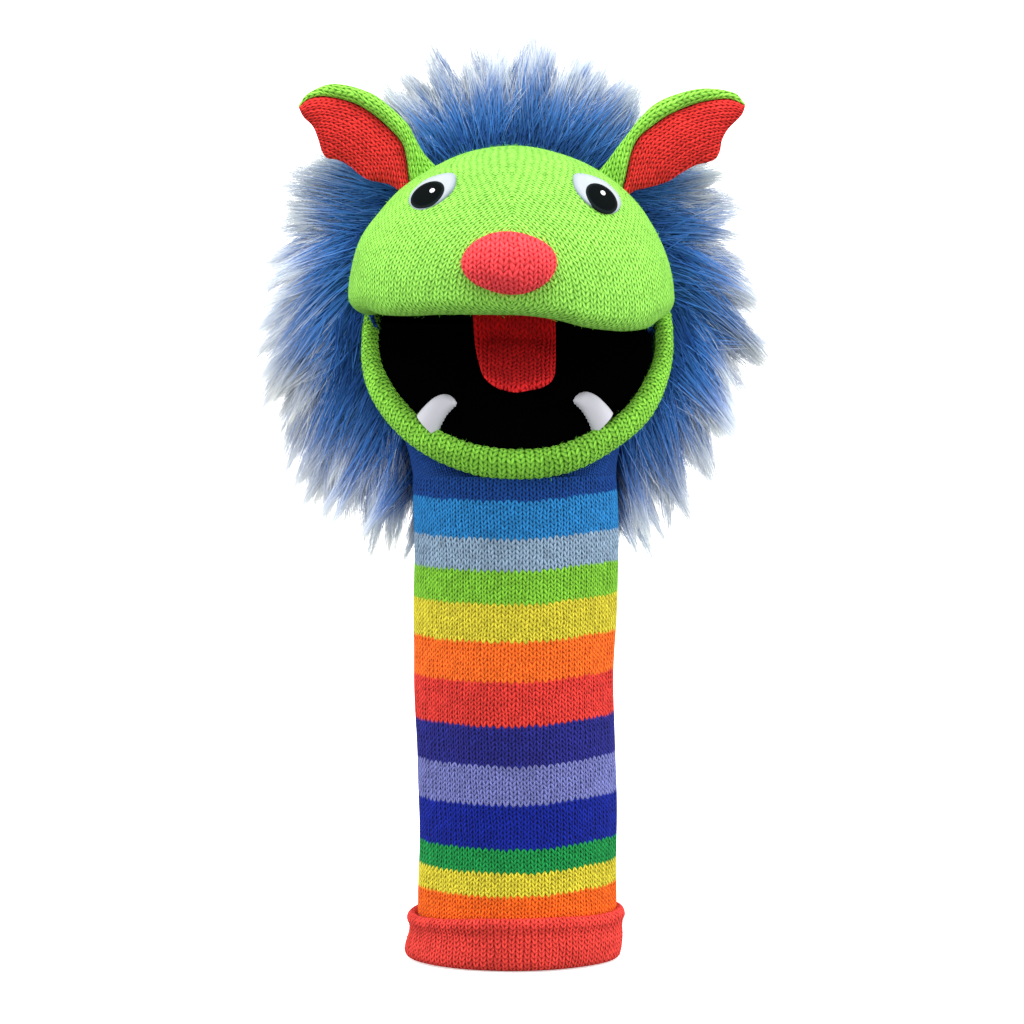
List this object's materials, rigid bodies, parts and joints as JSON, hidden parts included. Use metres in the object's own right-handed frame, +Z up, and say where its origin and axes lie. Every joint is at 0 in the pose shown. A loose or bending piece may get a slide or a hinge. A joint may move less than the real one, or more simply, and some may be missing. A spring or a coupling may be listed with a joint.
{
  "type": "moving mouth hand puppet",
  "caption": "Knitted monster hand puppet with a striped arm sleeve, a hinged mouth with teeth and tongue, bat ears and a long fur mane.",
  "frame": {"origin": "middle of the arm opening, at the lower edge of the cuff", "axes": "+Z up along the arm from the cuff to the head, face looks along -Y, +X is to the right of someone who faces the puppet"},
  "size_m": [0.217, 0.1932, 0.394],
  "materials": {
    "sleeve_knit": "striped stockinette knit in thirteen bands of colour",
    "cuff_knit": "coral stockinette knit",
    "neck_knit": "dark blue stockinette knit",
    "green_knit": "lime green stockinette knit",
    "nose_knit": "coral red stockinette knit",
    "red_knit": "red stockinette knit",
    "black_felt": "matt black felt",
    "pocket_cloth": "plain woven lining cloth",
    "blue_fur": "long-pile faux fur with paler tips",
    "fur_backing": "knitted fur backing",
    "wadding": "polyester fibre filling",
    "board": "stiff flexible sheet",
    "eye_white": "smooth white patch",
    "eye_black": "smooth black patch",
    "tooth_satin": "white satin"
  },
  "bodies": {
    "sleeve": {"cuff_band": "cuff_knit", "sleeve_lower": "sleeve_knit"},
    "forearm": {"sleeve_middle": "sleeve_knit"},
    "wrist": {"sleeve_wrist": "sleeve_knit"},
    "head": {"head_cover": "green_knit", "nape_cover": "neck_knit", "head_padding": "wadding", "upper_lip_padding": "wadding", "upper_mouth_lining": "black_felt", "upper_mouth_board": "board", "mouth_fold": "black_felt", "finger_pocket": "pocket_cloth", "nose_cover": "nose_knit", "nose_stuffing": "wadding", "eye_white_left": "eye_white", "eye_white_right": "eye_white", "eye_pupil_left": "eye_black", "eye_pupil_right": "eye_black", "eye_highlight_left": "eye_white", "eye_highlight_right": "eye_white", "mane_backing": "fur_backing", "mane_pile": "blue_fur"},
    "jaw": {"lower_lip_cover": "green_knit", "lower_lip_wadding": "wadding", "lower_mouth_lining": "black_felt", "lower_mouth_board": "board", "thumb_pocket": "pocket_cloth", "chin_cover": "neck_knit", "tooth_cover_left": "tooth_satin", "tooth_cover_right": "tooth_satin", "tooth_wadding_left": "wadding", "tooth_wadding_right": "wadding"},
    "tongue": {"tongue_cover": "red_knit", "tongue_interlining": "wadding"},
    "ear_left": {"ear_back_left": "green_knit", "ear_wadding_left": "wadding", "ear_lining_left": "red_knit"},
    "ear_right": {"ear_back_right": "green_knit", "ear_wadding_right": "wadding", "ear_lining_right": "red_knit"}
  },
  "joints": [
    {"name": "sleeve_twist", "type": "hinge", "parent": "sleeve", "child": "forearm", "pos_m": [0, 0, 0.1212], "axis": [0, 0, 1], "range_deg": [-35, 35]},
    {"name": "head_tilt", "type": "hinge", "parent": "forearm", "child": "wrist", "pos_m": [0, 0, 0.19], "axis": [0, 1, 0], "range_deg": [-12, 12]},
    {"name": "head_nod", "type": "hinge", "parent": "wrist", "child": "head", "pos_m": [0, 0, 0.19], "axis": [1, 0, 0], "range_deg": [-10, 15]},
    {"name": "mouth_hinge", "type": "hinge", "parent": "head", "child": "jaw", "pos_m": [0, -0.004, 0.272], "axis": [-1, 0, 0], "range_deg": [-8, 48]},
    {"name": "tongue_flop", "type": "hinge", "parent": "jaw", "child": "tongue", "pos_m": [0, -0.0055, 0.2698], "axis": [-1, 0, 0], "range_deg": [0, 18]},
    {"name": "ear_flop_left", "type": "hinge", "parent": "head", "child": "ear_left", "pos_m": [-0.041, -0.0135, 0.336], "axis": [0.678, 0, 0.735], "range_deg": [-12, 25], "stiffness_Nm_per_rad": 0.05},
    {"name": "ear_flop_right", "type": "hinge", "parent": "head", "child": "ear_right", "pos_m": [0.041, -0.0135, 0.336], "axis": [0.678, 0, -0.735], "range_deg": [-12, 25], "stiffness_Nm_per_rad": 0.05}
  ]
}
